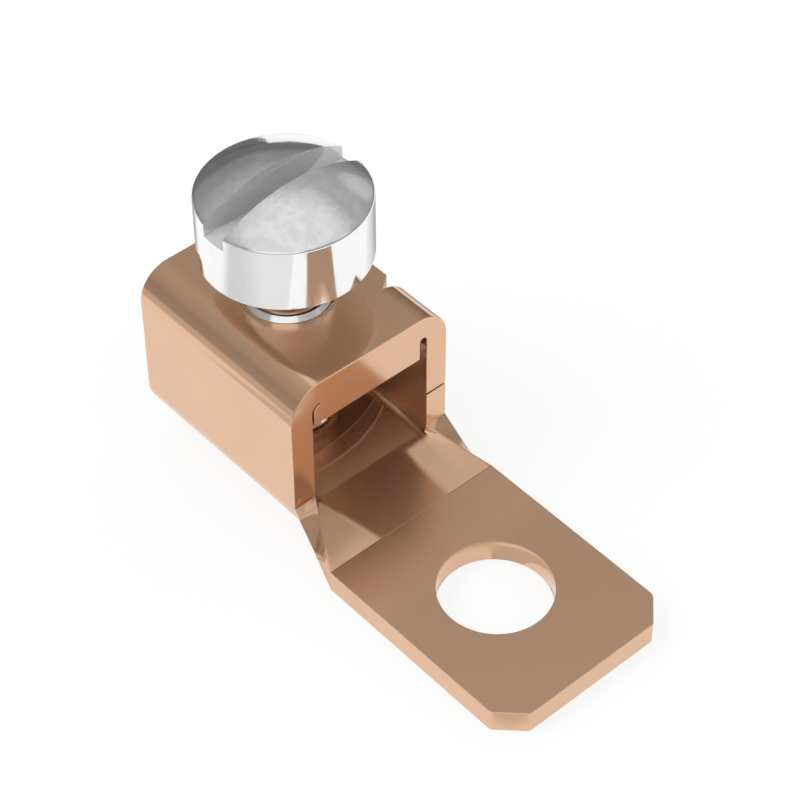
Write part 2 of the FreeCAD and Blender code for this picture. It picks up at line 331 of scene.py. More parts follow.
def dish_outline():
    """Bore, round lip and shallow dish, as the radius and height of a revolved punch."""
    reach = DISH_RADIUS - BORE
    sweep = (reach ** 2 + DISH_DEPTH ** 2) / (2 * DISH_DEPTH)
    dish_centre = (DISH_RADIUS, TOP - sweep)
    across = reach - LIP
    up = math.sqrt((sweep - LIP) ** 2 - across ** 2)
    lip_centre = (BORE + LIP, dish_centre[1] + up)
    meeting = 90 + math.degrees(math.atan2(across, up))
    lip = arc(lip_centre, LIP, 180, meeting, LIP_STEPS)
    dish = arc(dish_centre, sweep, meeting, 90, DISH_STEPS)
    return [(0, COLLAR_END - SHEET), (BORE, COLLAR_END - SHEET)] + lip + dish[1:] + [
        (DISH_RADIUS, TOP + SHEET), (0, TOP + SHEET)]


def shut_seam():
    """Closes the seam under the flap on the inner face of the wall."""
    low, high = LOW_WALL_TOP - SEAM_OVERLAP, LOW_WALL_TOP + SEAM_GAP + SEAM_OVERLAP
    lip = bar("seam_lip", [
        (INSIDE, low, 0), (INSIDE + SEAM_LIP, low, 0), (INSIDE + SEAM_LIP, high, 0), (INSIDE, high, 0)],
        FLAP_REAR, FRONT - SEAM_LIP)
    combine(strip, [lip], "UNION")


def punch_strip():
    """Adds the collar and cuts the holes and the notch."""
    collar = turned("collar", [
        (0, COLLAR_END), (COLLAR_RADIUS, COLLAR_END), (COLLAR_RADIUS, CEILING - COLLAR_SLOPE),
        (COLLAR_RADIUS + COLLAR_SLOPE, CEILING), (COLLAR_RADIUS + COLLAR_SLOPE, CEILING + SHEET / 2),
        (0, CEILING + SHEET / 2)], SCREW_X, ROUND_STEPS)
    combine(strip, [collar], "UNION")
    screw_punch = turned("screw_punch", dish_outline(), SCREW_X, ROUND_STEPS)
    stud_punch = turned("stud_punch", [
        (0, -SHEET), (STUD_RADIUS, -SHEET), (STUD_RADIUS, 2 * SHEET), (0, 2 * SHEET)], 0, ROUND_STEPS)
    depth, length = NOTCH
    notch_punch = plate("notch_punch", [
        (FLAP_REAR, OUTER_LAYER_EDGE - depth, 0), (FLAP_REAR, OUTER_LAYER_EDGE + depth, 0),
        (FLAP_REAR - 2 * length, OUTER_LAYER_EDGE + depth, 0)], LAYER, 2 * SHEET)
    combine(strip, [screw_punch, stud_punch, notch_punch], "DIFFERENCE")


shut_seam()
punch_strip()
print("punched strip vertices", len(strip.data.vertices))

# %% [markdown]
# ## Edges
# No real edge is perfectly sharp. Blanking leaves a rounding of less than a tenth of a millimetre, and it is
# that thin line which catches the light. A bevel on the sharp outer edges gives it, and the inner edges of a
# fold stay as they are. The bevel may push a point past the tongue's side by a hair, so the width is trued
# up afterwards.

# %% Round the edges
EDGE_ROUND = 0.07
EDGE_SEGMENTS = 2
SHARP = math.radians(30)
SMOOTH_ANGLE = math.radians(40)
FLAT_ANGLE = math.radians(0.3)  # faces that meet flatter than this are joined before the bevel


def soften(piece, wanted, offset, segments):
    """Bevels the edges of piece that wanted(edge) picks by offset millimetres."""
    bm = bmesh.new()
    bm.from_mesh(piece.data)
    bmesh.ops.scale(bm, vec=(1 / MM, 1 / MM, 1 / MM), verts=bm.verts)
    bmesh.ops.remove_doubles(bm, verts=bm.verts, dist=WELD)
    bmesh.ops.dissolve_limit(bm, angle_limit=FLAT_ANGLE, verts=bm.verts, edges=bm.edges)
    edges = [edge for edge in bm.edges if edge.is_manifold and wanted(edge)]
    bmesh.ops.bevel(bm, geom=edges, affect="EDGES", offset=offset, offset_type="OFFSET", segments=segments,
                    profile=0.5, material=-1, clamp_overlap=False)
    bmesh.ops.remove_doubles(bm, verts=bm.verts, dist=WELD)
    bmesh.ops.scale(bm, vec=(MM, MM, MM), verts=bm.verts)
    bm.to_mesh(piece.data)
    bm.free()
    return len(edges)


def is_convex(edge, least):
    """An edge that sticks out, with its faces turned by more than least."""
    return edge.is_convex and edge.calc_face_angle() > least


def is_strip_edge(edge):
    """A sharp outer edge of the strip, apart from the small step round the notch."""
    middle = (edge.verts[0].co + edge.verts[1].co) / 2
    by_notch = (abs(middle.x - FLAP_REAR) < NOTCH[1] + EDGE_ROUND and middle.y > BEND_START
                and middle.z > LAYER - EDGE_ROUND)
    return is_convex(edge, SHARP) and not (by_notch and middle.x < FLAP_REAR + EDGE_ROUND)


def finish_mesh(piece):
    """Smooth shading over round forms, with flat faces kept flat."""
    for face in piece.data.polygons:
        face.use_smooth = True
    piece.data.set_sharp_from_angle(angle=SMOOTH_ANGLE)
    weigh = piece.modifiers.new("weigh", "WEIGHTED_NORMAL")
    weigh.keep_sharp = True
    weigh.weight = 100


print("edges rounded:", soften(strip, is_strip_edge, EDGE_ROUND, EDGE_SEGMENTS))
for vert in strip.data.vertices:
    vert.co.y = max(-HALF_TONGUE * MM, min(HALF_TONGUE * MM, vert.co.y))

# %% [markdown]
# ## Thread
# A thread is a small trapezoid that winds up the shank, one pitch for each turn. A spin that climbs makes it
# in one go. The same ridge, a touch fatter, then cuts the thread into the collar as a tap does, so screw
# and collar really mesh. The pitch goes a whole number of times into the screw's travel.

# %% Wind the thread and tap the collar
THREAD_RADIUS = 3.1
THREAD_PITCH = 6.4 / 7  # the screw's travel over seven turns
THREAD_CORE = 2.55
THREAD_GAP = 0.03
THREAD_FOOT = 0.4 * THREAD_PITCH  # half the ridge's width at the core
THREAD_CREST = 0.07 * THREAD_PITCH  # and at its crest
THREAD_SUNK = 0.1  # how far the ridge starts inside the core
TIP = FLOOR + 0.15
THREAD_TOP = 12.0
THREAD_STEPS = 64


def thread_ridge(name, low, high, gap):
    """One long ridge from height low to beyond height high, fatter than the thread by gap."""
    turns = math.ceil((high - low) / THREAD_PITCH) + 2
    start = TIP + THREAD_PITCH * math.floor((low - TIP) / THREAD_PITCH - 1)
    foot, crest = THREAD_FOOT + gap, THREAD_CREST + gap
    core, outside = THREAD_CORE - THREAD_SUNK, THREAD_RADIUS + gap
    section = [(core, -foot), (THREAD_CORE, -foot), (outside, -crest), (outside, crest), (THREAD_CORE, foot),
               (core, foot)]
    bm = bmesh.new()
    bm.faces.new([bm.verts.new((radius, 0, start + height)) for radius, height in section])
    bmesh.ops.spin(bm, geom=bm.verts[:] + bm.edges[:] + bm.faces[:], cent=(0, 0, 0), axis=(0, 0, 1),
                   dvec=(0, 0, THREAD_PITCH / THREAD_STEPS), angle=math.tau * turns,
                   steps=turns * THREAD_STEPS, use_merge=False, use_duplicate=False)
    bmesh.ops.remove_doubles(bm, verts=bm.verts, dist=WELD)
    bmesh.ops.recalc_face_normals(bm, faces=bm.faces)
    bmesh.ops.translate(bm, vec=(SCREW_X, 0, 0), verts=bm.verts)
    return new_piece(name, bm)


combine(strip, [thread_ridge("tap", COLLAR_END, TOP, THREAD_GAP)], "DIFFERENCE")
finish_mesh(strip)
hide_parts("lug_body")
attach(strip, "lug")
print("strip finished:", len(strip.data.polygons), "faces")

# %% [markdown]
# ## The clamping screw
# The screw is turned from bar: a domed cheese head, a thin neck where the threading die ran out, and a
# threaded shank with a chamfered tip. Turning is a spin in Blender too, so the whole outline is drawn once.
# The thread's ridge is cut to length by the shank's own outline and joined to the core. The head's edges are
# broken on the lathe. The slot is milled last, so its long edges stay sharp.

# %% Turn the screw
HEAD_RADIUS = 5.25
HEAD_BOTTOM = TOP + 3.0
HEAD_RIM = HEAD_BOTTOM + 4.35
DOME_RISE = 1.5
NECK_RADIUS = 2.54
NECK_CONE = 0.3
NECK_FOOT = 12.46
TIP_CHAMFER = 0.35
SLOT_CUT_WIDTH = 1.75
SLOT_CUT_DEPTH = 0.85
DOME_RADIUS = (HEAD_RADIUS ** 2 + DOME_RISE ** 2) / (2 * DOME_RISE)
DOME_CENTRE = HEAD_RIM + DOME_RISE - DOME_RADIUS
DOME_HALF_ANGLE = math.degrees(math.asin(HEAD_RADIUS / DOME_RADIUS))
EDGE_BREAK = 0.1
BREAK_SEGMENTS = 3
SCREW_STEPS = 192
DOME_STEPS = 24


def turn_screw():
    """Head, neck, shank and thread in one closed piece."""
    shank = turned("shank_outline", [
        (0, TIP), (THREAD_RADIUS - TIP_CHAMFER, TIP), (THREAD_RADIUS, TIP + TIP_CHAMFER),
        (THREAD_RADIUS, THREAD_TOP - TIP_CHAMFER), (THREAD_RADIUS - TIP_CHAMFER, THREAD_TOP),
        (0, THREAD_TOP)], SCREW_X, SCREW_STEPS)
    thread = combine(thread_ridge("thread", TIP, THREAD_TOP, 0), [shank], "INTERSECT")
    dome = arc((0, DOME_CENTRE), DOME_RADIUS, 90 - DOME_HALF_ANGLE, 90, DOME_STEPS)
    screw = turned("slotted_screw", [
        (0, TIP), (THREAD_CORE, TIP), (THREAD_CORE, THREAD_TOP),
        (NECK_RADIUS + NECK_CONE, THREAD_TOP), (NECK_RADIUS + NECK_CONE, NECK_FOOT),
        (NECK_RADIUS, NECK_FOOT + NECK_CONE), (NECK_RADIUS, HEAD_BOTTOM),
        (HEAD_RADIUS, HEAD_BOTTOM)] + dome, SCREW_X, SCREW_STEPS)
    print("head edges rounded:", soften(screw, is_head_edge, EDGE_BREAK, BREAK_SEGMENTS))
    return combine(screw, [thread], "UNION")


def mill_slot(screw):
    """Cuts the straight slot across the head."""
    half = SLOT_CUT_WIDTH / 2
    slot = plate("slot", [(SCREW_X - half, -2 * HEAD_RADIUS, 0), (SCREW_X + half, -2 * HEAD_RADIUS, 0),
                          (SCREW_X + half, 2 * HEAD_RADIUS, 0), (SCREW_X - half, 2 * HEAD_RADIUS, 0)],
                 HEAD_RIM - SLOT_CUT_DEPTH, 2 * DOME_RISE + SLOT_CUT_DEPTH)
    return combine(screw, [slot], "DIFFERENCE")


def is_head_edge(edge):
    """A sharp outer edge of the head."""
    return is_convex(edge, SHARP) and min(vert.co.z for vert in edge.verts) > HEAD_BOTTOM - WELD


screw = mill_slot(turn_screw())
print("screw vertices", len(screw.data.vertices), "faces", len(screw.data.polygons))
finish_mesh(screw)
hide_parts("clamp_screw")
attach(screw, "screw")

# %% [markdown]
# ## Finishes
# Both pieces are bare metal, so nearly everything the eye sees is a reflection. What makes metal read as real
# is then small: roughness that changes a little, and marks that follow how the piece was made.
# Colours are written as the eye sees them, in hex, and one function turns them into the linear values that
# Cycles works with.

# %% Helpers for materials


def colour(code):
    """An sRGB hex code as linear red, green, blue and alpha."""
    shares = [int(code[i:i + 2], 16) / 255 for i in (1, 3, 5)]
    return [s / 12.92 if s <= 0.04045 else ((s + 0.055) / 1.055) ** 2.4 for s in shares] + [1]


def add_node(tree, kind, inputs, **settings):
    """Adds a node with its settings; each input gets a value, or a link if it is a socket."""
    made = tree.nodes.new(kind)
    for name, value in settings.items():
        setattr(made, name, value)
    for name, value in inputs.items():
        if isinstance(value, bpy.types.NodeSocket):
            tree.links.new(value, made.inputs[name])
        else:
            made.inputs[name].default_value = value
    return made


def new_material(name):
    """An empty material with a node tree."""
    material = bpy.data.materials.new(name)
    material.use_nodes = True
    material.node_tree.nodes.clear()
    return material, material.node_tree


# %% [markdown]
# ### Bright rolled copper
# The sheet left the mill between polished rolls and was brightened after folding. It is a smooth, slightly
# soft mirror, with faint lines along the rolling direction, which is the length of the lug.
# A noise that is stretched along X gives those lines on every face, because the strip is folded about X.
# A thin oxide film takes away some of the metallic share. Inside the barrel the sheet is duller. Its floor
# carries painted reflections: two light arcs for the collar's mirrored edges, painted paler metal beyond the
# second, and a painted dark reflection of the thread inside the first. Masks made from the place on the piece
# say where each of these is.
#
# The press leaves a slight swell on the joggle and blurs what it mirrors. A swell of a few hundredths of a
# millimetre could be modelled, but its look hangs on the normals alone. So the shading normal is eased
# upwards between two slanting borders, and tilted to the left beyond the left one, on upward faces only.

# %% Values of the copper, lengths in millimetres
ROLL_LINE = 0.18  # from line to line: the real ones are finer and wouldn't show in the picture
ROLL_LENGTH = 9.0  # how far one line goes on
ROLL_DEPTH = 0.002
ROLL_STRENGTH = 0.5
STAIN = 3.5  # across one patch of slightly other gloss and tint
NOISE_RANGE = (0.3, 0.7)  # nearly all of a noise lies in here
GLOSS = (0.1, 0.16)  # roughness from the cleanest to the dullest patch
CLEAN_TINTS = ("#E6BC9C", "#E1B694")
# painted dark reflection of the thread, inside the first arc on the barrel's floor
DARK_REFLECTION_TINT = "#BE9B80"
FILM = 0.08  # the share of plain colour that the oxide film brings
DULL_SHARE = 0.05  # a little more of it inside the barrel
DULL_ROUGH = 0.12  # and more roughness there
ROOT_ROUGH = 0.2  # the pressed sheet round the tongue's root is rougher too
ROOT_REACH = 3.2  # and that fades out over this length
# painted light on the barrel's floor: a paler patch beyond the second arc, and two light arcs that stand in
# for the mirrored collar's edges
PALE_PATCH_SHARE = 0.08
ARC_LIGHT_SHARE = 0.35
ARC_LIGHT_HALF = 0.04  # half the width of a painted light arc
MIRRORED_COLLAR_ARCS = [((-27.19, -1.36, FLOOR), 13.09), ((-22.61, -1.33, FLOOR), 9.72)]  # centre and radius of each arc
JOGGLE_LEFT = (-3.6, 0.371)  # a border's y at the barrel's front, and its slope
JOGGLE_RIGHT = (1.95, 0.17)
JOGGLE_BLEND = 0.8
LEFT_TILT = (0.36, 0.2, 0.91)  # the way that the ramp's left side seems to face
FADE = 0.05  # the width over which a mask ends at a corner
FAR = 99  # a limit beyond the piece

# %% Make the copper


def between(tree, value, low, high, blend):
    """1 where value lies between low and high, falling to 0 over blend outside them."""
    rise = add_node(tree, "ShaderNodeMapRange", {"Value": value, "From Min": low - blend, "From Max": low},
                    interpolation_type="SMOOTHSTEP")
    fall = add_node(tree, "ShaderNodeMapRange", {
        "Value": value, "From Min": high, "From Max": high + blend, "To Min": 1.0, "To Max": 0.0},
        interpolation_type="SMOOTHSTEP")
    return add_node(tree, "ShaderNodeMath", {
        0: rise.outputs["Result"], 1: fall.outputs["Result"]}, operation="MULTIPLY").outputs["Value"]


def product(tree, values):
    """The product of several values."""
    total = values[0]
    for value in values[1:]:
        total = add_node(tree, "ShaderNodeMath", {0: total, 1: value}, operation="MULTIPLY").outputs["Value"]
    return total


def rolled_copper():
    """Bright rolled copper: metallic, low roughness, faint rolling lines, duller inside the barrel."""
    material, tree = new_material("bright_rolled_copper")
    where = add_node(tree, "ShaderNodeTexCoord", {}).outputs["Object"]
    spot = add_node(tree, "ShaderNodeVectorMath", {0: where, "Scale": 1 / MM}, operation="SCALE").outputs[0]
    x, y, z = add_node(tree, "ShaderNodeSeparateXYZ", {"Vector": spot}).outputs
    along = add_node(tree, "ShaderNodeMapping", {
        "Vector": spot, "Scale": (1 / ROLL_LENGTH, 1 / ROLL_LINE, 1 / ROLL_LINE)})
    lines = add_node(tree, "ShaderNodeTexNoise", {
        "Vector": along.outputs["Vector"], "Scale": 1.0, "Detail": 3.0, "Roughness": 0.55})
    stains = add_node(tree, "ShaderNodeTexNoise", {
        "Vector": spot, "Scale": 1 / STAIN, "Detail": 4.0, "Roughness": 0.6, "Distortion": 0.4})

    # Where things are: inside the barrel, on its floor, on the ramp and round the tongue's root
    facing = add_node(tree, "ShaderNodeNewGeometry", {}).outputs["Normal"]
    upward = add_node(tree, "ShaderNodeSeparateXYZ", {"Vector": facing}).outputs["Z"]
    inside = product(tree, [
        between(tree, x, REAR - 1, FRONT - 0.4, 0.4), between(tree, y, -INSIDE, INSIDE, FADE),
        between(tree, z, FLOOR, CEILING, FADE)])
    ground = between(tree, z, FLOOR - 0.02, FLOOR + 0.02, 0.02)
    root = product(tree, [
        between(tree, x, FRONT - 0.3, TONGUE_ROOT + 3.0, ROOT_REACH),
        between(tree, z, -1, FLOOR + 0.01, 0.1)])
    ramp = product(tree, [
        between(tree, x, FRONT - 0.1, TONGUE_ROOT + 0.1, 0.2),
        between(tree, z, SHEET - 0.1, FLOOR + 0.1, 0.1), between(tree, upward, 0.5, 2, 0.3)])

    # The ramp's eased normal
    left = add_node(tree, "ShaderNodeMath", {0: x, 1: -JOGGLE_LEFT[1], 2: y}, operation="MULTIPLY_ADD")
    right = add_node(tree, "ShaderNodeMath", {0: x, 1: -JOGGLE_RIGHT[1], 2: y}, operation="MULTIPLY_ADD")
    low = JOGGLE_LEFT[0] - JOGGLE_LEFT[1] * FRONT
    high = JOGGLE_RIGHT[0] - JOGGLE_RIGHT[1] * FRONT
    soft = product(tree, [
        ramp, between(tree, left.outputs["Value"], low, FAR, JOGGLE_BLEND),
        between(tree, right.outputs["Value"], -FAR, high, JOGGLE_BLEND)])
    near = product(tree, [
        ramp, between(tree, left.outputs["Value"], -FAR, low - JOGGLE_BLEND, 0.6),
        between(tree, x, FRONT - 1, FRONT + 2.0, 1.8)])
    tilted = add_node(tree, "ShaderNodeMix", {0: near, 4: facing, 5: LEFT_TILT}, data_type="VECTOR")
    eased = add_node(tree, "ShaderNodeMix", {0: soft, 4: tilted.outputs[1], 5: (0, 0, 1)}, data_type="VECTOR")
    bump = add_node(tree, "ShaderNodeBump", {
        "Height": lines.outputs["Fac"], "Strength": ROLL_STRENGTH, "Distance": ROLL_DEPTH * MM,
        "Normal": eased.outputs[1]})

    # Painted reflections on the barrel's floor: two light arcs for the collar's mirrored edges, painted paler
    # metal beyond the second arc, and a painted dark reflection of the thread inside the first
    away, arcs = [], []
    for centre, radius in MIRRORED_COLLAR_ARCS:
        from_centre = add_node(tree, "ShaderNodeVectorMath", {0: spot, 1: centre}, operation="DISTANCE")
        away.append(from_centre.outputs["Value"])
        arcs.append(product(tree, [
            inside, ground, between(tree, away[-1], radius - ARC_LIGHT_HALF, radius + ARC_LIGHT_HALF, FADE)]))
    painted_arcs = add_node(tree, "ShaderNodeMath", {0: arcs[0], 1: arcs[1]}, operation="MAXIMUM")
    pale_patch = product(tree, [inside, ground, between(tree, away[1], MIRRORED_COLLAR_ARCS[1][1], FAR, 0.1)])
    dark_reflection = product(tree, [inside, ground, between(tree, away[0], -1, MIRRORED_COLLAR_ARCS[0][1], 0.1)])

    # How metallic, how rough and which colour
    # painted light: less metallic share on the arcs and on the pale patch lets the plain diffuse light show
    pale_patch_share = add_node(tree, "ShaderNodeMath", {0: pale_patch, 1: PALE_PATCH_SHARE}, operation="MULTIPLY")
    arc_light_share = add_node(tree, "ShaderNodeMath", {
        0: painted_arcs.outputs["Value"], 1: ARC_LIGHT_SHARE, 2: pale_patch_share.outputs["Value"]}, operation="MULTIPLY_ADD")
    filmed = add_node(tree, "ShaderNodeMath", {
        0: inside, 1: -DULL_SHARE, 2: 1.0 - FILM}, operation="MULTIPLY_ADD")
    metallic = add_node(tree, "ShaderNodeMath", {
        0: filmed.outputs["Value"], 1: arc_light_share.outputs["Value"]}, operation="SUBTRACT")
    gloss = add_node(tree, "ShaderNodeMapRange", {
        "Value": stains.outputs["Fac"], "From Min": NOISE_RANGE[0], "From Max": NOISE_RANGE[1],
        "To Min": GLOSS[0], "To Max": GLOSS[1]})
    dulled = add_node(tree, "ShaderNodeMath", {
        0: inside, 1: DULL_ROUGH, 2: gloss.outputs["Result"]}, operation="MULTIPLY_ADD")
    rough = add_node(tree, "ShaderNodeMath", {
        0: root, 1: ROOT_ROUGH, 2: dulled.outputs["Value"]}, operation="MULTIPLY_ADD")
    clean = add_node(tree, "ShaderNodeMix", {
        0: stains.outputs["Fac"], 6: colour(CLEAN_TINTS[0]), 7: colour(CLEAN_TINTS[1])}, data_type="RGBA")
    # the tint mixes in the painted dark reflection of the thread
    tint = add_node(tree, "ShaderNodeMix", {
        0: dark_reflection, 6: clean.outputs[2], 7: colour(DARK_REFLECTION_TINT)}, data_type="RGBA")
    metal = add_node(tree, "ShaderNodeBsdfPrincipled", {
        "Base Color": tint.outputs[2], "Metallic": metallic.outputs["Value"],
        "Roughness": rough.outputs["Value"], "Normal": bump.outputs["Normal"]})
    add_node(tree, "ShaderNodeOutputMaterial", {"Surface": metal.outputs["BSDF"]})
    return material


strip.data.materials.clear()
strip.data.materials.append(rolled_copper())
print("copper:", strip.data.materials[0].name)

# %% [markdown]
# ### Bright zinc plate on turned steel
# The lathe tool leaves rings on the dome and lines round the side. Both follow from one noise that is read at
# the distance from the axis and at the height, so no seam shows where the dome meets the side. Tumbling in
# the plating drum leaves shallow dents on the dome, which make its reflections waver, and a breath of haze.
# The face under the head is rough where it was parted, and the milled slot is duller and has no rings. The
# slot's walls are tinted darker as a painted shade.

# %% Values of the plated steel, lengths in millimetres
RING = 0.22  # from ring to ring: the real ones are finer and wouldn't show in the picture
RING_DEPTH = 0.002
RING_STRENGTH = 0.5
CLOUD = 2.5  # across one cloud of slightly other gloss and tint
PLATE_GLOSS = (0.03, 0.12)  # roughness from the cleanest to the cloudiest patch
PLATE_TINTS = ("#FDFDFD", "#F2F2F3")
HAZE = 0.9  # across one breath of haze
HAZE_RANGE = (0.42, 0.62)  # where in its noise the haze starts, and where it is full
HAZE_TINT = "#ECECEC"
HAZE_SIDE = (1.5, 2.0)  # the haze lies on the side up to this y, and fades over this width
DENT = 1.1
DENT_DEPTH = 0.012
SIDE_DENTS = 0.1  # the share of the dents' depth that the head's side has
SEAT_ROUGH = 0.42
MILLED_SHARE = 0.3  # the share of plain colour that the milled slot has
# painted shade on the slot's walls
SLOT_WALL_SHADE_TINT = "#D4D4D4"

# %% Make the plated steel


def zinc_plate():
    """Bright zinc plating: pale grey metal with turning rings and a slightly cloudy gloss."""
    material, tree = new_material("bright_zinc_plate")
    where = add_node(tree, "ShaderNodeTexCoord", {}).outputs["Object"]
    centred = add_node(tree, "ShaderNodeMapping", {
        "Vector": where, "Location": (-SCREW_X, 0, 0), "Scale": (1 / MM, 1 / MM, 1 / MM)}).outputs["Vector"]
    x, y, z = add_node(tree, "ShaderNodeSeparateXYZ", {"Vector": centred}).outputs
    flat = add_node(tree, "ShaderNodeCombineXYZ", {"X": x, "Y": y})
    radius = add_node(tree, "ShaderNodeVectorMath", {0: flat.outputs["Vector"]}, operation="LENGTH")
    profile = add_node(tree, "ShaderNodeCombineXYZ", {"X": radius.outputs["Value"], "Y": z})
    rings = add_node(tree, "ShaderNodeTexNoise", {
        "Vector": profile.outputs["Vector"], "Scale": 1 / RING, "Detail": 3.0, "Roughness": 0.6})
    clouds = add_node(tree, "ShaderNodeTexNoise", {
        "Vector": centred, "Scale": 1 / CLOUD, "Detail": 5.0, "Roughness": 0.65, "Distortion": 0.6})
    dents = add_node(tree, "ShaderNodeTexNoise", {
        "Vector": centred, "Scale": 1 / DENT, "Detail": 3.0, "Roughness": 0.6, "Distortion": 0.8})
    breath = add_node(tree, "ShaderNodeTexNoise", {
        "Vector": centred, "Scale": 1 / HAZE, "Detail": 2.0, "Roughness": 0.7})

    # Where things are: the face under the head, the slot, its two cheeks with their painted shade, and the
    # dome
    seat = between(tree, z, HEAD_BOTTOM - 0.1, HEAD_BOTTOM + 0.01, 0.02)
    width = add_node(tree, "ShaderNodeMath", {0: x}, operation="ABSOLUTE").outputs["Value"]
    slot = product(tree, [
        between(tree, width, -1, SLOT_CUT_WIDTH / 2 + 0.001, 0.001),
        between(tree, z, HEAD_RIM - 1, HEAD_RIM + 1, 0.1)])
    cheek_shade = product(tree, [slot, between(tree, width, SLOT_CUT_WIDTH / 2 - 0.01, 2, 0.01)])
    dome = add_node(tree, "ShaderNodeMapRange", {
        "Value": z, "From Min": HEAD_RIM, "From Max": HEAD_RIM + 0.2, "To Min": SIDE_DENTS})
    off_slot = add_node(tree, "ShaderNodeMath", {0: 1.0, 1: slot}, operation="SUBTRACT").outputs["Value"]

    # The form: dents first, then rings over them
    wavy = add_node(tree, "ShaderNodeBump", {
        "Height": product(tree, [dents.outputs["Fac"], dome.outputs["Result"], off_slot]), "Strength": 1.0,
        "Distance": DENT_DEPTH * MM})
    bump = add_node(tree, "ShaderNodeBump", {
        "Height": product(tree, [rings.outputs["Fac"], off_slot]), "Strength": RING_STRENGTH,
        "Distance": RING_DEPTH * MM, "Normal": wavy.outputs["Normal"]})

    # How metallic, how rough and which colour
    metallic = add_node(tree, "ShaderNodeMath", {0: slot, 1: -MILLED_SHARE, 2: 1.0}, operation="MULTIPLY_ADD")
    gloss = add_node(tree, "ShaderNodeMapRange", {
        "Value": clouds.outputs["Fac"], "From Min": NOISE_RANGE[0], "From Max": NOISE_RANGE[1],
        "To Min": PLATE_GLOSS[0], "To Max": PLATE_GLOSS[1]})
    rough = add_node(tree, "ShaderNodeMath", {
        0: seat, 1: SEAT_ROUGH, 2: gloss.outputs["Result"]}, operation="MULTIPLY_ADD")
    pale = add_node(tree, "ShaderNodeMix", {
        0: clouds.outputs["Fac"], 6: colour(PLATE_TINTS[0]), 7: colour(PLATE_TINTS[1])}, data_type="RGBA")
    haze = add_node(tree, "ShaderNodeMapRange", {
        "Value": breath.outputs["Fac"], "From Min": HAZE_RANGE[0], "From Max": HAZE_RANGE[1]})
    hazy = product(tree, [
        haze.outputs["Result"], between(tree, z, HEAD_RIM + 0.05, HEAD_RIM + 9, 0.1),
        between(tree, y, -FAR, HAZE_SIDE[0], HAZE_SIDE[1])])
    cloudy = add_node(tree, "ShaderNodeMix", {
        0: hazy, 6: pale.outputs[2], 7: colour(HAZE_TINT)}, data_type="RGBA")
    # the slot's walls get a painted shade
    tint = add_node(tree, "ShaderNodeMix", {
        0: cheek_shade, 6: cloudy.outputs[2], 7: colour(SLOT_WALL_SHADE_TINT)}, data_type="RGBA")
    metal = add_node(tree, "ShaderNodeBsdfPrincipled", {
        "Base Color": tint.outputs[2], "Metallic": metallic.outputs["Value"],
        "Roughness": rough.outputs["Value"], "Normal": bump.outputs["Normal"]})
    add_node(tree, "ShaderNodeOutputMaterial", {"Surface": metal.outputs["BSDF"]})
    return material


screw.data.materials.clear()
screw.data.materials.append(zinc_plate())
print("steel:", screw.data.materials[0].name)

# %% [markdown]
# ## The studio
# The photograph is a cut-out on plain white, so the floor and the room are white to the camera, and only the
# object's soft shadow is laid over the floor. Polished metal also needs something to mirror, or it looks like
# grey plastic. Light Path tells the rays apart: those that come off metal find another floor, with a grey
# card in front, a darker far side, a long shade far behind the part, and painted shades: the barrel's own
# shadow in its lee, a contact shade at the tongue's corner and a shade in the stud hole. The floor lies a
# hair below the part and is clear from underneath, so the underside can be looked at.

# %% Values of the floor: lengths in millimetres, brightness from 0 to 1
FLOOR_SIZE = 6.0  # this one in metres
FLOOR_DROP = 0.02
FLOOR_LIGHT = 0.85  # how much of the floor's white is its own, so that the shadow stays soft
FLOOR_TINT = "#F7F7F7"
CARD_EDGE = (-13.6, 0.6)  # the grey card lies beyond this y, with a soft edge of this width
CARD_LEFT = (-31.0, 6)  # and beyond this x
CARD_DARK = (-21.0, 0.62)  # an x, and the card's brightness there
CARD_PALE = (-6.0, 0.8)
FAR_SIDE = (-28.0, -38.0, 0.52)  # the y where the far side starts, where it is full, and its brightness
SHADE_START = (-18.4, 0, 0)  # under the screw
SHADE_SIDE = (-0.574, -0.819, 0)  # the way across the long shade behind the part
SHADE_WIDTH = 3.0
SHADE_LEVEL = 0.0
BEHIND_X = (-58, 10)  # a limit, and the width over which the shade fades there
BEHIND_Y = (-8, 20)
ENDLESS = 9000  # a limit beyond the floor
LEE_SHADOW_ALONG = (-25.0, -11.0)  # the barrel's painted shadow on the mirrored floor: where it is full, and where it ends
LEE_SHADOW_ACROSS = (2.0, -4.5)
LEE_SHADOW_REACH = (38.0, 48.0)
LEE_SHADOW_DEPTH = 0.68
CORNER_SHADE = (8.6, -7.1, 0)  # beside the tongue's near corner
CORNER_REACH = (1.0, 1.8)
CORNER_LEVEL = 0.7
HOLE_SIDE = (0.6, 0.8, 0)  # the shade in the stud hole is a band across this way
HOLE_BAND = (0.25, 1.9)
HOLE_DEPTH = 0.36

# %% The floor as metal sees it


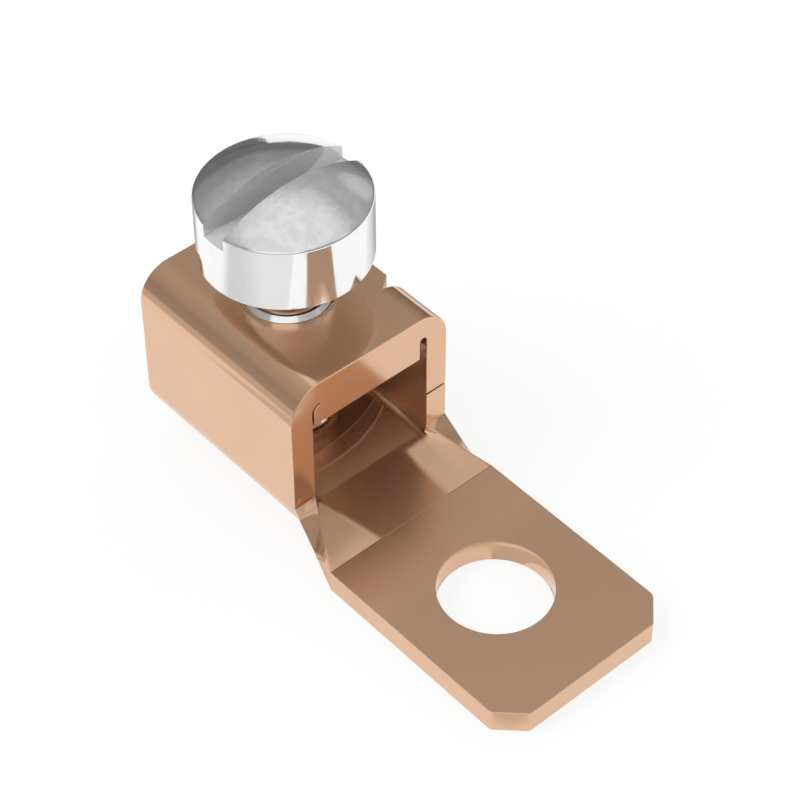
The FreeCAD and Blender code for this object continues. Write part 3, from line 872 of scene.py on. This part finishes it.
def mirrored_floor(tree, spot):
    """How bright the floor is in a mirror."""
    x, y, z = add_node(tree, "ShaderNodeSeparateXYZ", {"Vector": spot}).outputs

    # The grey card in front and the darker far side
    card = add_node(tree, "ShaderNodeMapRange", {
        "Value": x, "From Min": CARD_DARK[0], "From Max": CARD_PALE[0], "To Min": CARD_DARK[1],
        "To Max": CARD_PALE[1]}, interpolation_type="SMOOTHSTEP")
    on_card = add_node(tree, "ShaderNodeMapRange", {
        "Value": y, "From Min": CARD_EDGE[0], "From Max": CARD_EDGE[0] - CARD_EDGE[1]})
    past_left = add_node(tree, "ShaderNodeMapRange", {
        "Value": x, "From Min": CARD_LEFT[0], "From Max": CARD_LEFT[0] + CARD_LEFT[1]},
        interpolation_type="SMOOTHSTEP")
    card_share = product(tree, [on_card.outputs["Result"], past_left.outputs["Result"]])
    near = add_node(tree, "ShaderNodeMix", {0: card_share, 2: 1.0, 3: card.outputs["Result"]}).outputs[0]
    far = add_node(tree, "ShaderNodeMapRange", {
        "Value": y, "From Min": FAR_SIDE[0], "From Max": FAR_SIDE[1], "To Min": 1.0, "To Max": FAR_SIDE[2]})
    front = add_node(tree, "ShaderNodeMath", {0: near, 1: far.outputs["Result"]}, operation="MINIMUM")

    # The long shade behind the part
    from_screw = add_node(tree, "ShaderNodeVectorMath", {0: spot, 1: SHADE_START}, operation="SUBTRACT")
    across = add_node(tree, "ShaderNodeVectorMath", {0: from_screw.outputs[0], 1: SHADE_SIDE},
                      operation="DOT_PRODUCT")
    shade = add_node(tree, "ShaderNodeMapRange", {
        "Value": across.outputs["Value"], "From Min": 0.0, "From Max": SHADE_WIDTH, "To Min": 1.0,
        "To Max": SHADE_LEVEL})
    behind = product(tree, [
        between(tree, x, -ENDLESS, *BEHIND_X), between(tree, y, BEHIND_Y[0], ENDLESS, BEHIND_Y[1])])
    back = add_node(tree, "ShaderNodeMix", {0: behind, 2: 1.0, 3: shade.outputs["Result"]}).outputs[0]

    # The lee of the barrel: a painted shadow of the barrel on the mirrored floor
    reach = add_node(tree, "ShaderNodeVectorMath", {0: from_screw.outputs[0]}, operation="LENGTH")
    shadowed = []
    for place, (full, none) in [(x, LEE_SHADOW_ALONG), (y, LEE_SHADOW_ACROSS), (reach.outputs["Value"], LEE_SHADOW_REACH)]:
        share = add_node(tree, "ShaderNodeMapRange", {
            "Value": place, "From Min": full, "From Max": none, "To Min": 1.0, "To Max": 0.0})
        shadowed.append(share.outputs["Result"])
    lee_shadow = add_node(tree, "ShaderNodeMath", {
        0: product(tree, shadowed), 1: -LEE_SHADOW_DEPTH, 2: 1.0}, operation="MULTIPLY_ADD")

    # The small shades at the tongue's corner and in the stud hole
    near_corner = add_node(tree, "ShaderNodeVectorMath", {0: spot, 1: CORNER_SHADE}, operation="DISTANCE")
    corner = add_node(tree, "ShaderNodeMapRange", {
        "Value": near_corner.outputs["Value"], "From Min": CORNER_REACH[0], "From Max": CORNER_REACH[1],
        "To Min": CORNER_LEVEL, "To Max": 1.0})
    sideways = add_node(tree, "ShaderNodeVectorMath", {0: spot, 1: HOLE_SIDE}, operation="DOT_PRODUCT")
    from_stud = add_node(tree, "ShaderNodeVectorMath", {0: spot}, operation="LENGTH")
    in_hole = product(tree, [
        between(tree, sideways.outputs["Value"], *HOLE_BAND, 0.15),
        between(tree, from_stud.outputs["Value"], -1, STUD_RADIUS, 0.1)])
    hole = add_node(tree, "ShaderNodeMath", {0: in_hole, 1: -HOLE_DEPTH, 2: 1.0}, operation="MULTIPLY_ADD")
    return product(tree, [
        front.outputs["Value"], back, lee_shadow.outputs["Value"], corner.outputs["Result"], hole.outputs["Value"]])


# %% Lay the floor


def ray_masks(tree):
    """1 for rays from the camera, and 1 for rays that come from the camera or through metal or glass."""
    rays = add_node(tree, "ShaderNodeLightPath", {})
    mirrored = add_node(tree, "ShaderNodeMath", {
        0: rays.outputs["Is Camera Ray"], 1: rays.outputs["Is Glossy Ray"]}, operation="ADD")
    shown = add_node(tree, "ShaderNodeMath", {
        0: mirrored.outputs["Value"], 1: rays.outputs["Is Transmission Ray"]},
        operation="ADD", use_clamp=True)
    return rays.outputs["Is Camera Ray"], shown.outputs["Value"]


def white_floor():
    """A white floor that shows white to the camera, keeps a soft shadow, and is clear from below."""
    material, tree = new_material("white_floor")
    from_camera, shown = ray_masks(tree)
    share = add_node(tree, "ShaderNodeMath", {0: shown, 1: FLOOR_LIGHT}, operation="MULTIPLY")
    where = add_node(tree, "ShaderNodeTexCoord", {}).outputs["Object"]
    spot = add_node(tree, "ShaderNodeVectorMath", {0: where, "Scale": 1 / MM}, operation="SCALE").outputs[0]
    level = add_node(tree, "ShaderNodeMath", {
        0: mirrored_floor(tree, spot), 1: from_camera}, operation="MAXIMUM")
    paper = add_node(tree, "ShaderNodeBsdfDiffuse", {"Color": colour(FLOOR_TINT)})
    glow = add_node(tree, "ShaderNodeEmission", {
        "Color": colour("#FFFFFF"), "Strength": level.outputs["Value"]})
    both = add_node(tree, "ShaderNodeMixShader", {
        0: share.outputs["Value"], 1: paper.outputs["BSDF"], 2: glow.outputs["Emission"]})
    below = add_node(tree, "ShaderNodeNewGeometry", {}).outputs["Backfacing"]
    clear = add_node(tree, "ShaderNodeBsdfTransparent", {"Color": colour("#FFFFFF")})
    sided = add_node(tree, "ShaderNodeMixShader", {
        0: below, 1: both.outputs["Shader"], 2: clear.outputs["BSDF"]})
    add_node(tree, "ShaderNodeOutputMaterial", {"Surface": sided.outputs["Shader"]})
    return material


bm = bmesh.new()
bmesh.ops.create_grid(bm, x_segments=1, y_segments=1, size=FLOOR_SIZE / 2 / MM)
bmesh.ops.translate(bm, vec=(0, 0, -FLOOR_DROP), verts=bm.verts)
studio_floor = new_piece("studio_floor", bm)
studio_floor.data.materials.append(white_floor())
print("floor side in m:", FLOOR_SIZE)

# %% [markdown]
# ## The room and the lamp
# Metal also mirrors the room: dim at eye level, brighter towards the ceiling, and paler in front. A
# photographer hangs a broad softbox in front and has a window or two, and all of these could be lamps. Here
# they are brightness by direction in the world, which metal can't tell from the real thing, and which stays
# smooth however little the render samples. Rough surfaces get plain even light, and one softbox gives the
# shadow. Its square would show in the dome, so it is hidden from glossy rays.

# %% Values of the room
ROOM = [(0.0, 0.16), (0.07, 0.16), (0.1, 0.17), (0.15, 0.235), (0.26, 0.265), (0.34, 0.295), (0.42, 0.33),
        (0.5, 0.375), (0.57, 0.39), (0.66, 0.415), (0.72, 0.43), (0.76, 0.49), (0.82, 0.62), (0.88, 0.73),
        (0.94, 0.78), (1.0, 0.8)]  # height from the horizon to overhead, and brightness
ROOM_TILT = (0.11, 0, 0.99)  # the way that counts as up
ROOM_SIDE = (0, -0.42, 0)  # the way to the pale side in front, as long as that side is bright
WINDOWS = [((-0.221, 0.886, 0.407), (0.976, 0.998), 0.2), ((0.548, 0.486, 0.68), (0.974, 0.995), 0.25)]
FRONT_BOX = (0.53, -0.62, 0.58)
FRONT_EDGE = (0.8, 0.93)
FRONT_LIGHT = 0.95
SKY_LIGHT = 0.85  # the even light on rough surfaces
KEY_PLACE = (-180, -260, 380)  # mm, as the next two
KEY_AIM = (-9, 0, 8)
KEY_SIZE = 220
KEY_POWER = 0.9

# %% Light the room


def glow_from(tree, way, place, edge, light):
    """A soft patch of light in the direction place; edge holds the cosines where it starts and is full."""
    near = add_node(tree, "ShaderNodeVectorMath", {0: way, 1: place}, operation="DOT_PRODUCT")
    patch = add_node(tree, "ShaderNodeMapRange", {
        "Value": near.outputs["Value"], "From Min": edge[0], "From Max": edge[1], "To Min": 0.0,
        "To Max": light}, interpolation_type="SMOOTHSTEP")
    return patch.outputs["Result"]


def light_room():
    """Plain even light for rough surfaces, and the room's brightness by direction for metal."""
    world = bpy.data.worlds.new("studio")
    bpy.context.scene.world = world
    world.use_nodes = True
    tree = world.node_tree
    tree.nodes.clear()
    from_camera, shown = ray_masks(tree)
    way = add_node(tree, "ShaderNodeTexCoord", {}).outputs["Generated"]
    height = add_node(tree, "ShaderNodeVectorMath", {0: way, 1: ROOM_TILT}, operation="DOT_PRODUCT")
    room = add_node(tree, "ShaderNodeValToRGB", {"Fac": height.outputs["Value"]})
    stops = room.color_ramp.elements
    stops[0].position, stops[0].color = ROOM[0][0], [ROOM[0][1]] * 3 + [1]
    stops[1].position, stops[1].color = ROOM[-1][0], [ROOM[-1][1]] * 3 + [1]
    for place, brightness in ROOM[1:-1]:
        stops.new(place).color = [brightness] * 3 + [1]
    side = add_node(tree, "ShaderNodeVectorMath", {0: way, 1: ROOM_SIDE}, operation="DOT_PRODUCT")
    level = add_node(tree, "ShaderNodeMath", {
        0: room.outputs["Color"], 1: side.outputs["Value"]}, operation="MAXIMUM")
    for place, edge, light in WINDOWS:
        level = add_node(tree, "ShaderNodeMath", {
            0: level.outputs["Value"], 1: glow_from(tree, way, place, edge, light)}, operation="ADD")
    level = add_node(tree, "ShaderNodeMath", {
        0: level.outputs["Value"], 1: glow_from(tree, way, FRONT_BOX, FRONT_EDGE, FRONT_LIGHT)},
        operation="MAXIMUM")
    seen = add_node(tree, "ShaderNodeMath", {0: level.outputs["Value"], 1: from_camera}, operation="MAXIMUM")
    light = add_node(tree, "ShaderNodeMix", {0: shown, 2: SKY_LIGHT, 3: seen.outputs["Value"]})
    sky = add_node(tree, "ShaderNodeBackground", {"Color": colour("#FFFFFF"), "Strength": light.outputs[0]})
    add_node(tree, "ShaderNodeOutputWorld", {"Surface": sky.outputs["Background"]})


def softbox(name, place, aim, size, power):
    """A square area lamp at place that faces aim, all in millimetres."""
    data = bpy.data.lights.new(name, "AREA")
    data.size = size * MM
    data.energy = power
    lamp = bpy.data.objects.new(name, data)
    lamp.visible_glossy = False
    lamp.location = Vector(place) * MM
    lamp.rotation_euler = (Vector(place) - Vector(aim)).to_track_quat("Z", "Y").to_euler()
    bpy.context.scene.collection.objects.link(lamp)
    return lamp


light_room()
softbox("key_softbox", KEY_PLACE, KEY_AIM, KEY_SIZE, KEY_POWER)
bpy.context.scene.view_settings.view_transform = "Standard"
